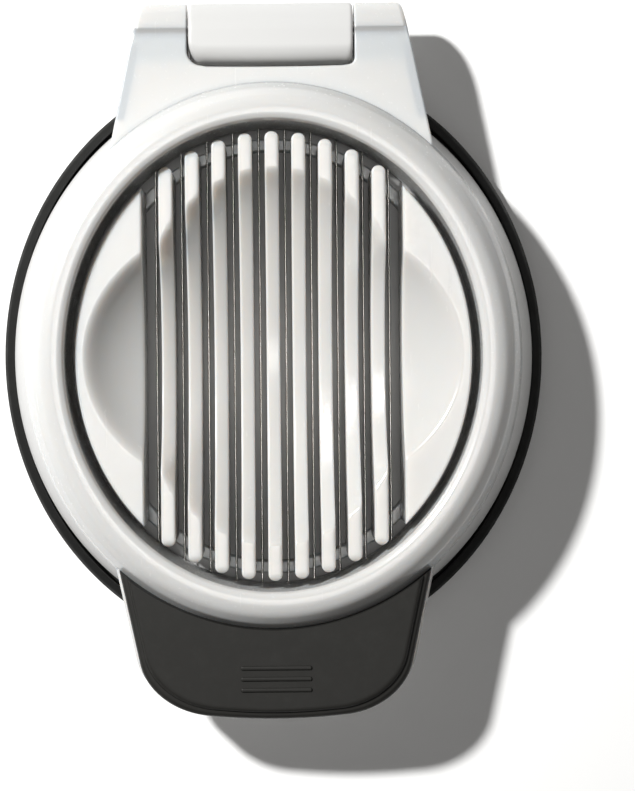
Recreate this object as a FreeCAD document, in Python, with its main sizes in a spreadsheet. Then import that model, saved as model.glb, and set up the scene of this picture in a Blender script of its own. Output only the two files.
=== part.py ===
import FreeCAD, Part
import math
import os

# Oval wire egg slicer: a base that stands on a rubber ring, a slatted egg cradle in it,
# and a hinged cutting frame that carries ten steel wires down between the slats.
# Millimetres. +X right, +Y towards the hinge, +Z up. Origin: middle of the footprint,
# on the surface the slicer stands on.

V = FreeCAD.Vector
doc = FreeCAD.newDocument("egg_slicer")
sheet = doc.addObject("Spreadsheet::Sheet", "Dims")

DIMS = [
    # the rubber ring (long half-axis runs along Y, short half-axis along X)
    ("rubber_long", 73.5), ("rubber_short", 66.6), ("rubber_high", 6.6),
    ("rubber_hole_long", 66.0), ("rubber_hole_short", 60.0),
    # the base housing
    ("house_low", 2.0), ("house_bend", 6.5), ("house_high", 21.5),
    ("house_foot_long", 69.8), ("house_foot_short", 64.0),
    ("house_bend_long", 69.3), ("house_bend_short", 63.7),
    ("house_top_long", 65.2), ("house_top_short", 59.9),
    ("house_wall", 2.2), ("house_floor", 4.5),
    ("rail_long", 49.5), ("rail_short", 44.0),
    ("pad_half", 17.0), ("pad_front", 63.4), ("pad_high", 15.0),
    # the egg cradle
    ("cradle_long", 53.6), ("cradle_short", 47.3), ("cradle_high", 28.0),
    ("cradle_wall", 2.2), ("lobe_start", 31.1), ("rail_high", 6.8),
    ("slat_pitch", 6.35), ("slat_thick", 3.35), ("slat_low", 5.4),
    ("egg_long", 44.1), ("egg_short", 33.6), ("egg_deep", 18.0), ("egg_lift", 5.0),
    ("boss_along", 39.6), ("boss_across", 14.0), ("boss_wide", 6.0),
    # the cutting frame
    ("ring_low", 21.9), ("ring_high", 33.0),
    ("ring_long", 64.9), ("ring_short", 59.7),
    ("hole_long", 55.8), ("hole_short", 49.5),
    ("skirt_thick", 2.0), ("skirt_low", 9.0), ("ring_shell", 2.0),
    ("plate_low", 22.0), ("plate_high", 24.0),
    ("plate_front_half", 39.85), ("plate_front_y", 45.0),
    ("plate_rear_half", 31.5), ("plate_rear_y", 85.6),
    ("side_low", 17.0), ("side_wall", 2.2), ("side_front", 57.8),
    ("notch_half", 20.1), ("notch_front", 69.6),
    # the handle
    ("handle_root_half", 38.7), ("handle_root_y", 47.5),
    ("handle_front_half", 30.4), ("handle_front_y", 86.3),
    ("handle_corner", 15.0), ("tongue_low", 21.9), ("tongue_high", 25.0),
    ("grip_high", 29.6), ("grip_lip", 0.8), ("grip_round", 1.8),
    # the wires
    ("wire_radius", 0.25), ("wire_level", 8.95), ("wire_groove", 0.32),
    ("retainer_low", 7.4), ("crimp_radius", 0.8), ("crimp_length", 2.4),
    # the hinge
    ("pin_y", 77.9), ("pin_z", 16.4), ("barrel_radius", 7.6),
    ("pin_radius", 2.0), ("pin_half", 31.6), ("arm_bore", 2.05), ("block_bore", 2.02),
    ("block_half", 19.75), ("block_corner", 4.5),
]
for i, (alias, value) in enumerate(DIMS, start=1):
    sheet.set("A%d" % i, alias.replace("_", " "))
    sheet.set("B%d" % i, str(value))
    sheet.setAlias("B%d" % i, alias)
doc.recompute()
D = {alias: float(value) for alias, value in DIMS}


def bind(obj, **props):
    for key, expr in props.items():
        obj.setExpression(key.replace("__", "."), expr)
    return obj


def ellipse(name, long_e, short_e, z_e):
    e = doc.addObject("Part::Ellipse", name)
    e.Angle1 = 0
    e.Angle2 = 360
    e.Placement = FreeCAD.Placement(V(0, 0, 0), FreeCAD.Rotation(V(0, 0, 1), 90))
    return bind(e, MajorRadius=long_e, MinorRadius=short_e, Placement__Base__z=z_e)


def loft(name, sections, ruled=True):
    """A closed solid through oval sections, each (long half-axis, short half-axis, height)."""
    obj = doc.addObject("Part::Loft", name)
    obj.Sections = [ellipse("%s_s%d" % (name, k), *s) for k, s in enumerate(sections)]
    obj.Solid = True
    obj.Ruled = ruled
    return obj


def prism(name, long_e, short_e, low_e, high_e):
    """An upright oval cylinder."""
    obj = doc.addObject("Part::Extrusion", name)
    obj.Base = ellipse(name + "_s0", long_e, short_e, low_e)
    obj.DirMode = "Custom"
    obj.Dir = V(0, 0, 1)
    obj.Solid = True
    return bind(obj, LengthFwd="(%s) - (%s)" % (high_e, low_e))


def oval_block(name, long_e, short_e, low_e, high_e):
    """The same upright oval cylinder, built as a loft between two ovals."""
    return loft(name, [(long_e, short_e, low_e), (long_e, short_e, high_e)])


def box(name, x0, x1, y0, y1, z0, z1):
    obj = doc.addObject("Part::Box", name)
    return bind(obj, Length="(%s) - (%s)" % (x1, x0), Width="(%s) - (%s)" % (y1, y0),
                Height="(%s) - (%s)" % (z1, z0), Placement__Base__x=x0,
                Placement__Base__y=y0, Placement__Base__z=z0)


def cylinder(name, radius, x, y, z, length, axis="z"):
    """A cylinder that starts at (x, y, z) and runs along the positive axis."""
    obj = doc.addObject("Part::Cylinder", name)
    turn = {"z": FreeCAD.Rotation(), "x": FreeCAD.Rotation(V(0, 1, 0), 90),
            "y": FreeCAD.Rotation(V(1, 0, 0), -90)}[axis]
    obj.Placement = FreeCAD.Placement(V(0, 0, 0), turn)
    return bind(obj, Radius=radius, Height=length, Placement__Base__x=x,
                Placement__Base__y=y, Placement__Base__z=z)


def fuse(name, *objs):
    obj = doc.addObject("Part::MultiFuse", name)
    obj.Shapes = list(objs)
    return obj


def common(name, a, b):
    obj = doc.addObject("Part::MultiCommon", name)
    obj.Shapes = [a, b]
    return obj


def cut(name, base, *tools):
    for k, tool in enumerate(tools):
        obj = doc.addObject("Part::Cut", "%s_c%d" % (name, k))
        obj.Base = base
        obj.Tool = tool
        base = obj
    return base


def compound(name, *objs):
    obj = doc.addObject("Part::Compound", name)
    obj.Links = list(objs)
    return obj


def plane(body, role):
    return [f for f in body.Origin.OriginFeatures if f.Role == role][0]


def tapered_pad(name, half0, y0, half1, y1, low, high, corner=None, top_round=None):
    """A flat-topped block, symmetric about X = 0, whose half-width runs from half0 at y0 to half1 at y1."""
    import Sketcher
    body = doc.addObject("PartDesign::Body", name)
    sk = body.newObject("Sketcher::SketchObject", name + "_sketch")
    sk.AttachmentSupport = [(plane(body, "XY_Plane"), "")]
    sk.MapMode = "FlatFace"
    bind(sk, AttachmentOffset__Base__z=low)
    ev = lambda e: float(sheet.evalExpression(e)) if hasattr(sheet, "evalExpression") else 0.0
    a, b, c, d = ev(half0), ev(y0), ev(half1), ev(y1)
    pts = [V(-a, b, 0), V(a, b, 0), V(c, d, 0), V(-c, d, 0)]
    for k in range(4):
        sk.addGeometry(Part.LineSegment(pts[k], pts[(k + 1) % 4]), False)
    for k in range(4):
        sk.addConstraint(Sketcher.Constraint("Coincident", k, 2, (k + 1) % 4, 1))
    for k, (hx, hy) in enumerate([(half0, y0), (half0, y0), (half1, y1), (half1, y1)]):
        p = pts[k]
        first, second = ((-1, 1), (k, 1)) if p.x > 0 else ((k, 1), (-1, 1))
        n = sk.addConstraint(Sketcher.Constraint("DistanceX", *first, *second, abs(p.x)))
        sk.renameConstraint(n, "half_%d" % k)
        sk.setExpression("Constraints.half_%d" % k, hx)
        first, second, sign = ((-1, 1), (k, 1), "") if p.y > 0 else ((k, 1), (-1, 1), "-")
        n = sk.addConstraint(Sketcher.Constraint("DistanceY", *first, *second, abs(p.y)))
        sk.renameConstraint(n, "far_%d" % k)
        sk.setExpression("Constraints.far_%d" % k, "%s(%s)" % (sign, hy))
    pad = body.newObject("PartDesign::Pad", name + "_pad")
    pad.Profile = sk
    bind(pad, Length="(%s) - (%s)" % (high, low))
    doc.recompute()
    if corner:
        yc = d
        edges = ["Edge%d" % (i + 1) for i, e in enumerate(pad.Shape.Edges)
                 if abs(e.Vertexes[0].X - e.Vertexes[-1].X) < 1e-6 and abs(e.Vertexes[0].Y - yc) < 1e-6
                 and abs(e.Vertexes[-1].Y - yc) < 1e-6]
        fil = body.newObject("PartDesign::Fillet", name + "_corner")
        fil.Base = (pad, edges)
        bind(fil, Radius=corner)
        doc.recompute()
        if top_round:
            zt = max(v.Z for v in fil.Shape.Vertexes)
            yr = b
            edges = ["Edge%d" % (i + 1) for i, e in enumerate(fil.Shape.Edges)
                     if all(abs(v.Z - zt) < 1e-6 for v in e.Vertexes)
                     and not all(abs(v.Y - yr) < 1e-6 for v in e.Vertexes)]
            top = body.newObject("PartDesign::Fillet", name + "_top")
            top.Base = (fil, edges)
            bind(top, Radius=top_round)
            doc.recompute()
    return body


def screw(name, radius, head_radius, head_high, length, x, y, z, axis):
    """Pan-head screw with a cross recess. The head's seat is at (x, y, z); the shank runs along +axis."""
    body = doc.addObject("PartDesign::Body", name)
    import Sketcher
    sk = body.newObject("Sketcher::SketchObject", name + "_sketch")
    sk.AttachmentSupport = [(plane(body, "XZ_Plane"), "")]
    sk.MapMode = "FlatFace"
    pts = [V(0, -head_high, 0), V(head_radius * 0.72, -head_high, 0), V(head_radius, -head_high * 0.55, 0),
           V(head_radius, 0, 0), V(radius, 0, 0), V(radius, length - radius, 0), V(0, length, 0)]
    n = len(pts)
    for k in range(n):
        sk.addGeometry(Part.LineSegment(pts[k], pts[(k + 1) % n]), False)
    for k in range(n):
        sk.addConstraint(Sketcher.Constraint("Coincident", k, 2, (k + 1) % n, 1))
    for k in range(n):
        sk.addConstraint(Sketcher.Constraint("Block", k)) if k == 0 else None
    rev = body.newObject("PartDesign::Revolution", name + "_turn")
    rev.Profile = sk
    rev.ReferenceAxis = (sk, ["V_Axis"])
    rev.Angle = 360
    doc.recompute()
    slot = body.newObject("Sketcher::SketchObject", name + "_cross")
    slot.AttachmentSupport = [(plane(body, "XY_Plane"), "")]
    slot.MapMode = "FlatFace"
    slot.AttachmentOffset = FreeCAD.Placement(V(0, 0, -head_high), FreeCAD.Rotation())
    w, r = head_radius * 0.13, head_radius * 0.52
    cr = [V(-w, -r, 0), V(w, -r, 0), V(w, -w, 0), V(r, -w, 0), V(r, w, 0), V(w, w, 0),
          V(w, r, 0), V(-w, r, 0), V(-w, w, 0), V(-r, w, 0), V(-r, -w, 0), V(-w, -w, 0)]
    for k in range(12):
        slot.addGeometry(Part.LineSegment(cr[k], cr[(k + 1) % 12]), False)
    for k in range(12):
        slot.addConstraint(Sketcher.Constraint("Coincident", k, 2, (k + 1) % 12, 1))
    pocket = body.newObject("PartDesign::Pocket", name + "_recess")
    pocket.Profile = slot
    pocket.Length = head_high * 0.6
    pocket.Reversed = True
    before = rev.Shape.Volume
    doc.recompute()
    if pocket.Shape.isNull() or pocket.Shape.Volume >= before - 1e-4:
        pocket.Reversed = False
        doc.recompute()
    turn = {"z": FreeCAD.Rotation(), "y": FreeCAD.Rotation(V(1, 0, 0), -90)}[axis]
    body.Placement = FreeCAD.Placement(V(x, y, z), turn)
    return body


nodes = {}


def node(name, obj):
    obj.Label = name
    nodes[name] = obj
    return obj


# ---------------------------------------------------------------- base housing
def house_outer(name):
    return loft(name, [("Dims.house_foot_long", "Dims.house_foot_short", "Dims.house_low"),
                       ("Dims.house_bend_long", "Dims.house_bend_short", "Dims.house_bend"),
                       ("Dims.house_top_long", "Dims.house_top_short", "Dims.house_high")])


h_in = loft("house_inner", [
    ("Dims.house_bend_long - Dims.house_wall", "Dims.house_bend_short - Dims.house_wall", "Dims.house_floor"),
    ("Dims.house_bend_long - Dims.house_wall - 0.2", "Dims.house_bend_short - Dims.house_wall - 0.2",
     "Dims.house_bend + 0.8"),
    ("Dims.house_top_long - Dims.house_wall - 0.13", "Dims.house_top_short - Dims.house_wall - 0.13",
     "Dims.house_high + 0.5")])
h_shell = cut("house_shell", house_outer("house_out_a"), h_in)
# thick pad inside the rear wall that the hinge block is screwed to
h_pad = common("house_pad", house_outer("house_out_b"),
               box("house_pad_box", "-Dims.pad_half", "Dims.pad_half", "Dims.pad_front", "80",
                   "Dims.house_floor - 1", "Dims.pad_high"))
h_tools = []
for sx in (-1, 1):
    for sy in (-1, 1):
        tag = "%s%s" % ("l" if sx < 0 else "r", "f" if sy < 0 else "b")
        px, py = "%d * Dims.boss_along" % sx, "%d * Dims.boss_across" % sy
        h_tools.append(cylinder("house_screw_hole_" + tag, "1.6", px, py, "Dims.house_low - 1", "5"))
        h_tools.append(cylinder("house_head_pocket_" + tag, "2.9", px, py, "Dims.house_low - 1", "2.3"))
    h_tools.append(cylinder("house_hinge_hole_%s" % ("l" if sx < 0 else "r"), "1.6", "%d * 11.5" % sx,
                            "Dims.pad_front - 1", "11.4", "12", "y"))
house = node("base_housing", cut("base_housing", fuse("house_body", h_shell, h_pad), *h_tools))

# ---------------------------------------------------------------- rubber ring
rub = loft("rubber_outer", [
    ("Dims.rubber_long - 0.7", "Dims.rubber_short - 0.7", "0"),
    ("Dims.rubber_long - 0.1", "Dims.rubber_short - 0.1", "0.7"),
    ("Dims.rubber_long", "Dims.rubber_short", "1.6"),
    ("Dims.rubber_long - 0.3", "Dims.rubber_short - 0.2", "3.2"),
    ("Dims.rubber_long - 1.5", "Dims.rubber_short - 0.9", "5.0"),
    ("Dims.house_bend_long + 0.5", "Dims.house_bend_short + 0.4", "Dims.rubber_high")])
node("non_slip_ring", cut("non_slip_ring", rub, house_outer("house_out_c"),
                          prism("rubber_hole", "Dims.rubber_hole_long", "Dims.rubber_hole_short", "-1",
                                "Dims.house_low + 0.5")))

# ---------------------------------------------------------------- hinge block and pin
blk_barrel = cylinder("block_barrel", "Dims.barrel_radius", "-Dims.block_half", "Dims.pin_y", "Dims.pin_z",
                      "2 * Dims.block_half", "x")
blk_web = box("block_web", "-Dims.block_half", "Dims.block_half", "60", "Dims.pin_y",
              "Dims.pin_z - Dims.barrel_radius", "Dims.pin_z")
# the front of the block is squared up to fill the notch in the frame, with a rounded top edge
blk_front = fuse("block_front",
                 box("block_front_low", "-Dims.block_half", "Dims.block_half", "Dims.pin_y - Dims.barrel_radius",
                     "Dims.pin_y", "Dims.pin_z", "Dims.pin_z + Dims.barrel_radius - Dims.block_corner"),
                 box("block_front_top", "-Dims.block_half", "Dims.block_half",
                     "Dims.pin_y - Dims.barrel_radius + Dims.block_corner", "Dims.pin_y", "Dims.pin_z",
                     "Dims.pin_z + Dims.barrel_radius"),
                 cylinder("block_front_round", "Dims.block_corner", "-Dims.block_half",
                          "Dims.pin_y - Dims.barrel_radius + Dims.block_corner",
                          "Dims.pin_z + Dims.barrel_radius - Dims.block_corner", "2 * Dims.block_half", "x"))
blk_parts = [blk_front]
for part, solid in (("barrel", blk_barrel), ("web", blk_web)):
    holes = [cylinder("block_%s_screw_hole_%s" % (part, "l" if sx < 0 else "r"), "1.1", "%d * 11.5" % sx, "59",
                      "11.4", "16.6", "y") for sx in (-1, 1)]
    blk_parts.append(cut("block_%s_drilled" % part, solid, *holes))
node("hinge_block", cut("hinge_block", fuse("block_solid", *blk_parts), house_outer("house_out_d"),
                        cylinder("block_pin_hole", "Dims.block_bore", "-Dims.block_half - 1", "Dims.pin_y",
                                 "Dims.pin_z", "2 * Dims.block_half + 2", "x")))

pin_body = doc.addObject("PartDesign::Body", "pin_body")
pin_cyl = pin_body.newObject("PartDesign::AdditiveCylinder", "pin_rod")
bind(pin_cyl, Radius="Dims.pin_radius", Height="2 * Dims.pin_half")
doc.recompute()
pin_edges = ["Edge%d" % (i + 1) for i, e in enumerate(pin_cyl.Shape.Edges) if e.Closed]
pin_ch = pin_body.newObject("PartDesign::Chamfer", "pin_chamfer")
pin_ch.Base = (pin_cyl, pin_edges)
pin_ch.Size = 0.4
pin_body.Placement = FreeCAD.Placement(V(-D["pin_half"], D["pin_y"], D["pin_z"]), FreeCAD.Rotation(V(0, 1, 0), 90))
bind(pin_body, Placement__Base__x="-Dims.pin_half", Placement__Base__y="Dims.pin_y",
     Placement__Base__z="Dims.pin_z")
node("hinge_pin", pin_body)

# ---------------------------------------------------------------- egg cradle
def egg(name, grow, along):
    """One of the two bowls that together hold an egg lengthways or crossways."""
    obj = doc.addObject("Part::Ellipsoid", name)
    obj.Angle1 = -90
    obj.Angle2 = 90
    obj.Angle3 = 360
    a, b = ("Dims.egg_short", "Dims.egg_long") if along == "y" else ("Dims.egg_long", "Dims.egg_short")
    widen = "/ sqrt(1 - pow(Dims.egg_lift / (Dims.egg_deep + Dims.egg_lift); 2))"
    return bind(obj, Radius1="Dims.egg_deep + Dims.egg_lift + %s" % grow, Radius2="%s %s + %s" % (a, widen, grow),
                Radius3="%s %s + %s" % (b, widen, grow), Placement__Base__z="Dims.cradle_high + Dims.egg_lift")


slats = []
for k in range(-4, 5):
    tag = ("m%d" % -k) if k < 0 else ("p%d" % k)
    x = "%d * Dims.slat_pitch" % k
    end = "(Dims.cradle_long * sqrt(1 - pow((%s) / Dims.cradle_short; 2)) - Dims.slat_thick / 2)" % x
    slats.append(box("slat_" + tag, x + " - Dims.slat_thick / 2", x + " + Dims.slat_thick / 2", "-" + end, end,
                     "Dims.slat_low", "Dims.cradle_high"))
    for side, sign in (("f", "-"), ("b", "")):
        slats.append(cylinder("slat_end_%s_%s" % (tag, side), "Dims.slat_thick / 2", x, sign + end,
                              "Dims.slat_low", "Dims.cradle_high - Dims.slat_low"))
slats_cut = cut("slats_cut", compound("slats", *[
    fuse("slat_solid_%d" % k, *slats[3 * k:3 * k + 3]) for k in range(9)]), egg("egg_y", "0", "y"), egg("egg_x", "0", "x"))
rail = cut("rail_ring", oval_block("rail_outer", "Dims.cradle_long", "Dims.cradle_short", "Dims.house_floor",
                              "Dims.rail_high"),
           oval_block("rail_inner", "Dims.rail_long", "Dims.rail_short", "Dims.house_floor - 1",
                 "Dims.rail_high + 1"))
cradle_parts = [rail, slats_cut]
for sx in (-1, 1):
    side = "l" if sx < 0 else "r"
    near, far = ("-60", "-Dims.lobe_start") if sx < 0 else ("Dims.lobe_start", "60")
    near_in, far_in = (("-60", "-Dims.lobe_start - Dims.cradle_wall") if sx < 0 else
                       ("Dims.lobe_start + Dims.cradle_wall", "60"))
    lobe = common("lobe_%s" % side, oval_block("lobe_oval_" + side, "Dims.cradle_long", "Dims.cradle_short",
                                          "Dims.house_floor", "Dims.cradle_high"),
                  box("lobe_band_" + side, near, far, "-60", "60", "0", "40"))
    hollow = cut("lobe_hollow_" + side,
                 common("lobe_room_" + side,
                        oval_block("hollow_oval_" + side, "Dims.cradle_long - Dims.cradle_wall",
                              "Dims.cradle_short - Dims.cradle_wall", "Dims.house_floor - 1",
                              "Dims.cradle_high - 2.4"),
                        box("hollow_band_" + side, near_in, far_in, "-60", "60", "0", "40")),
                 egg("egg_y_grown_" + side, "2.3", "y"), egg("egg_x_grown_" + side, "2.3", "x"))
    shell = cut("lobe_shell_" + side, lobe, hollow, egg("egg_y_" + side, "0", "y"), egg("egg_x_" + side, "0", "x"))
    cradle_parts.append(shell)
    for sy in (-1, 1):
        tag = "%s%s" % (side, "f" if sy < 0 else "b")
        px, py = "%d * Dims.boss_along" % sx, "%d * Dims.boss_across" % sy
        cradle_parts.append(cut("cradle_boss_cut_" + tag,
                                cylinder("cradle_boss_" + tag, "Dims.boss_wide / 2", px, py, "Dims.house_floor",
                                         "19.5"), egg("egg_boss_" + tag, "1", "x"),
                                cylinder("cradle_pilot_" + tag, "1.35", px, py, "Dims.house_floor - 1", "9.6")))
cradle = node("egg_cradle", fuse("egg_cradle", *cradle_parts))

# ---------------------------------------------------------------- cutting frame
def handle_block(name, inset, low, high, front, corner, top_round=None):
    return tapered_pad(name, "Dims.handle_root_half - %s" % inset, "-Dims.handle_root_y",
                       "Dims.handle_front_half - %s" % inset, front, low, high, corner, top_round)


sheet_values = {}
ring_out = loft("ring_outer", [
    ("Dims.ring_long", "Dims.ring_short", "Dims.ring_low"),
    ("Dims.ring_long - 0.4", "Dims.ring_short - 0.45", "Dims.ring_low + 2.6"),
    ("Dims.ring_long - 1.5", "Dims.ring_short - 1.7", "Dims.ring_low + 6.3"),
    ("Dims.ring_long - 3.3", "Dims.ring_short - 3.7", "Dims.ring_low + 9.4"),
    ("Dims.ring_long - 4.8", "Dims.ring_short - 5.3", "Dims.ring_low + 10.7"),
    ("Dims.ring_long - 6.4", "Dims.ring_short - 7.1", "Dims.ring_high")])
ring_cavity = cut("ring_cavity", loft("ring_cavity_out", [
    ("Dims.ring_long - 1.9", "Dims.ring_short - 1.9", "Dims.ring_low - 2"),
    ("Dims.ring_long - 2.1", "Dims.ring_short - 2.2", "Dims.ring_low + 1.0"),
    ("Dims.ring_long - 3.7", "Dims.ring_short - 4.1", "Dims.ring_low + 5.0"),
    ("Dims.ring_long - 5.7", "Dims.ring_short - 6.3", "Dims.ring_low + 7.8")]),
    prism("ring_cavity_skirt", "Dims.hole_long + Dims.skirt_thick", "Dims.hole_short + Dims.skirt_thick",
          "0", "40"))
skirt = prism("skirt", "Dims.hole_long + Dims.skirt_thick", "Dims.hole_short + Dims.skirt_thick",
              "Dims.skirt_low", "Dims.ring_high - 3")
hole = prism("hole_low", "Dims.hole_long", "Dims.hole_short", "0", "40")
flare = loft("hole_flare", [
    ("Dims.hole_long - 0.2", "Dims.hole_short - 0.2", "Dims.ring_high - 2.4"),
    ("Dims.hole_long + 0.15", "Dims.hole_short + 0.15", "Dims.ring_high - 1.2"),
    ("Dims.hole_long + 1.1", "Dims.hole_short + 1.1", "Dims.ring_high + 0.1")])

trim = prism("ring_inside", "Dims.ring_long - 1.9", "Dims.ring_short - 1.9", "0", "40")
plate = cut("rear_plate", tapered_pad("plate_pad", "Dims.plate_front_half", "Dims.plate_front_y",
                                      "Dims.plate_rear_half", "Dims.plate_rear_y", "Dims.plate_low",
                                      "Dims.plate_high"), trim,
            box("plate_beyond_pin", "-50", "50", "Dims.pin_y", "100", "0", "40"))
sides = cut("side_walls", tapered_pad("side_pad", "Dims.plate_front_half", "Dims.plate_front_y",
                                      "Dims.plate_rear_half", "Dims.plate_rear_y", "Dims.side_low",
                                      "Dims.plate_high - 0.5"),
            tapered_pad("side_pad_inner", "Dims.plate_front_half - Dims.side_wall", "Dims.plate_front_y - 1",
                        "Dims.plate_rear_half - Dims.side_wall", "Dims.plate_rear_y + 1", "Dims.side_low - 1",
                        "Dims.plate_high"),
            box("sides_front", "-50", "50", "40", "Dims.side_front", "0", "40"),
            box("sides_rear", "-50", "50", "Dims.pin_y", "100", "0", "40"))
arm_shape = fuse("arm_shape",
                 cylinder("arm_disc", "Dims.barrel_radius", "-45", "Dims.pin_y", "Dims.pin_z", "90", "x"),
                 box("arm_web", "-45", "45", "Dims.pin_y - Dims.barrel_radius", "Dims.pin_y", "Dims.pin_z",
                     "Dims.plate_high"))
arms = common("arms", arm_shape,
              tapered_pad("arm_pad", "Dims.plate_front_half", "Dims.plate_front_y", "Dims.plate_rear_half",
                          "Dims.plate_rear_y", "0", "40"))
notch = box("notch", "-Dims.notch_half", "Dims.notch_half", "Dims.notch_front", "100", "0", "40")
pin_hole = cylinder("arm_pin_hole", "Dims.arm_bore", "-50", "Dims.pin_y", "Dims.pin_z", "100", "x")

tongue = cut("tongue", handle_block("tongue_pad", "0", "Dims.tongue_low", "Dims.tongue_high",
                                    "-Dims.handle_front_y + 0.9", "Dims.handle_corner"),
             prism("tongue_trim", "Dims.ring_long - 1.9", "Dims.ring_short - 1.9", "0", "40"))

BOSS_T = (0, 50, 130, 180, 230, 310)


def boss_at(t):
    return ("(Dims.hole_short + 3.3) * %.6f" % math.cos(math.radians(t)),
            "(Dims.hole_long + 3.3) * %.6f" % math.sin(math.radians(t)))


frame_bosses, frame_pilots, lugs, lug_holes = [], [], [], []
for k, t in enumerate(BOSS_T):
    px, py = boss_at(t)
    frame_bosses.append(cylinder("frame_boss_%d" % k, "2.4", px, py, "Dims.skirt_low", "19"))
    frame_pilots.append(cylinder("frame_pilot_%d" % k, "1.05", px, py, "Dims.skirt_low - 1", "8"))
    lugs.append(cylinder("lug_%d" % k, "2.4", px, py, "Dims.retainer_low", "Dims.skirt_low - Dims.retainer_low"))
    lug_holes.append(cylinder("lug_hole_%d" % k, "1.2", px, py, "Dims.retainer_low - 1", "4"))

WIRES = [(k + 0.5) for k in range(-5, 5)]
slits, grooves = [], []
for k, w in enumerate(WIRES):
    x = "%.1f * Dims.slat_pitch" % w
    slits.append(box("wire_slit_%d" % k, x + " - Dims.wire_groove", x + " + Dims.wire_groove", "-80", "80",
                     "Dims.skirt_low - 1", "Dims.skirt_low + 3.4"))
    grooves.append(box("wire_groove_%d" % k, x + " - Dims.wire_groove", x + " + Dims.wire_groove", "-80", "80",
                       "Dims.wire_level - Dims.wire_radius - 0.05", "Dims.skirt_low + 1"))
slit_tool = compound("slit_tool", *slits)
groove_tool = compound("groove_tool", *grooves)

ring_top = cut("ring_top", ring_out, ring_cavity)
frame_solid = fuse("frame_solid", ring_top, skirt, plate, sides, arms, tongue, *frame_bosses)
frame_cut = cut("frame_ring", frame_solid, hole, flare, notch, pin_hole, slit_tool, *frame_pilots)
node("frame_ring", frame_cut)

ret_ring = cut("retainer_band", prism("retainer_outer", "Dims.hole_long + Dims.skirt_thick",
                                      "Dims.hole_short + Dims.skirt_thick", "Dims.retainer_low",
                                      "Dims.skirt_low"))
node("wire_retaining_ring", cut("wire_retaining_ring", fuse("retainer_solid", ret_ring, *lugs),
                                prism("retainer_hole", "Dims.hole_long", "Dims.hole_short", "0", "20"),
                                groove_tool, *lug_holes))

# grip: soft moulding on top of the tongue, butted against the ring's outer edge
grip_raw = handle_block("grip_pad", "Dims.grip_lip", "Dims.tongue_high", "Dims.grip_high",
                        "-Dims.handle_front_y", "Dims.handle_corner", "Dims.grip_round")
ring_block = loft("ring_block", [
    ("Dims.ring_long + 0.05", "Dims.ring_short + 0.05", "0"),
    ("Dims.ring_long + 0.05", "Dims.ring_short + 0.05", "40")])
ridges = []
for k in (-1, 0, 1):
    ridges.append(box("ridge_%d" % (k + 1), "-8.5", "8.5", "-76.6 + %d * 2.6 - 0.5" % k,
                      "-76.6 + %d * 2.6 + 0.5" % k, "Dims.grip_high - 0.5", "Dims.grip_high + 0.4"))
node("handle_grip", cut("handle_grip", fuse("grip_solid", grip_raw, *ridges), ring_block))

# ---------------------------------------------------------------- wires and their crimps
front_crimps, rear_crimps = [], []
for k, w in enumerate(WIRES):
    x_mm = w * D["slat_pitch"]
    sa, sb = D["hole_short"] + D["skirt_thick"], D["hole_long"] + D["skirt_thick"]
    slope = (abs(x_mm) / sa ** 2) * sb ** 2 / (sb * math.sqrt(1 - (x_mm / sa) ** 2))
    gap = 0.15 + D["crimp_radius"] * slope
    x = "%.1f * Dims.slat_pitch" % w
    end = ("((Dims.hole_long + Dims.skirt_thick) * sqrt(1 - pow((%s) / (Dims.hole_short + Dims.skirt_thick); 2))"
           " + %.4f)" % (x, gap))
    node("cutting_wire_%02d" % (k + 1),
         cylinder("cutting_wire_%02d" % (k + 1), "Dims.wire_radius", x, "-%s - Dims.crimp_length" % end,
                  "Dims.wire_level", "2 * (%s + Dims.crimp_length)" % end, "y"))
    for side, sign, store in (("front", -1, front_crimps), ("rear", 1, rear_crimps)):
        start = end if sign > 0 else "-%s - Dims.crimp_length" % end
        tube = cut("crimp_%s_%d" % (side, k),
                   cylinder("crimp_%s_%d_out" % (side, k), "Dims.crimp_radius", x, start, "Dims.wire_level",
                            "Dims.crimp_length", "y"),
                   cylinder("crimp_%s_%d_in" % (side, k), "Dims.wire_radius + 0.03", x, "%s - 1" % start,
                            "Dims.wire_level", "Dims.crimp_length + 2", "y"))
        store.append(tube)
node("wire_crimps_front", compound("wire_crimps_front", *front_crimps))
node("wire_crimps_rear", compound("wire_crimps_rear", *rear_crimps))

# ---------------------------------------------------------------- screws
node("cradle_screws", compound("cradle_screws", *[
    screw("cradle_screw_%d" % k, 1.3, 2.6, 1.2, 9.0, sx * D["boss_along"], sy * D["boss_across"],
          D["house_low"] + 1.3, "z") for k, (sx, sy) in enumerate([(-1, -1), (1, -1), (1, 1), (-1, 1)])]))
node("hinge_screws", compound("hinge_screws", *[
    screw("hinge_screw_%d" % k, 1.05, 2.5, 1.4, 12.0, sx * 11.5, D["pad_front"], 11.4, "y")
    for k, sx in enumerate((-1, 1))]))
node("retainer_screws", compound("retainer_screws", *[
    screw("retainer_screw_%d" % k, 1.0, 2.0, 1.2, 7.6, (D["hole_short"] + 3.3) * math.cos(math.radians(t)),
          (D["hole_long"] + 3.3) * math.sin(math.radians(t)), D["retainer_low"], "z")
    for k, t in enumerate(BOSS_T)]))

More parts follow.
